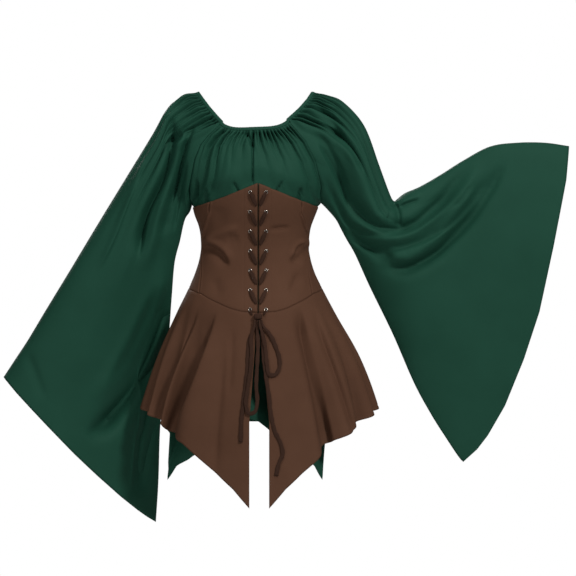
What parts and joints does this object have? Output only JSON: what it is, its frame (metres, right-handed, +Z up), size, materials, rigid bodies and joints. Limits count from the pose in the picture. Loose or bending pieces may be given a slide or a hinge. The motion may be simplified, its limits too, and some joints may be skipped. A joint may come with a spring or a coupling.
{
  "type": "medieval gown",
  "caption": "Short medieval costume gown: green off-shoulder chemise with bell sleeves under a laced brown corset with a pointed peplum, hollow and filled out.",
  "frame": {"origin": "midway between the two shoulder points of the neckline, where the gown is held", "axes": "+Z up, the front faces -Y, +X towards the wearer's left, where the raised sleeve points"},
  "size_m": [1.3305, 0.3427, 1.0169],
  "materials": {
    "green_cloth": "matt woven cloth",
    "brown_cloth": "matt woven cloth",
    "dark_lace": "flat woven tie",
    "eyelet_metal": "worn metal"
  },
  "bodies": {
    "root": {"chemise_front": "green_cloth", "chemise_back": "green_cloth", "sleeve_right": "green_cloth", "sleeve_left": "green_cloth", "neckline_casing": "green_cloth", "corset_front_right": "brown_cloth", "corset_front_left": "brown_cloth", "corset_side_right": "brown_cloth", "corset_side_left": "brown_cloth", "corset_back": "brown_cloth", "peplum_front_right": "brown_cloth", "peplum_front_left": "brown_cloth", "peplum_back": "brown_cloth", "eyelet_right_1": "eyelet_metal", "eyelet_right_2": "eyelet_metal", "eyelet_right_3": "eyelet_metal", "eyelet_right_4": "eyelet_metal", "eyelet_right_5": "eyelet_metal", "eyelet_right_6": "eyelet_metal", "eyelet_right_7": "eyelet_metal", "eyelet_left_1": "eyelet_metal", "eyelet_left_2": "eyelet_metal", "eyelet_left_3": "eyelet_metal", "eyelet_left_4": "eyelet_metal", "eyelet_left_5": "eyelet_metal", "eyelet_left_6": "eyelet_metal", "eyelet_left_7": "eyelet_metal", "lace_right_1": "dark_lace", "lace_right_2": "dark_lace", "lace_right_3": "dark_lace", "lace_right_4": "dark_lace", "lace_right_5": "dark_lace", "lace_right_6": "dark_lace", "lace_right_7": "dark_lace", "lace_left_1": "dark_lace", "lace_left_2": "dark_lace", "lace_left_3": "dark_lace", "lace_left_4": "dark_lace", "lace_left_5": "dark_lace", "lace_left_6": "dark_lace", "lace_left_7": "dark_lace", "tie_knot": "dark_lace", "tie_loop_right": "dark_lace", "tie_loop_left": "dark_lace", "tie_end_right": "dark_lace", "tie_end_left": "dark_lace"}
  },
  "joints": []
}
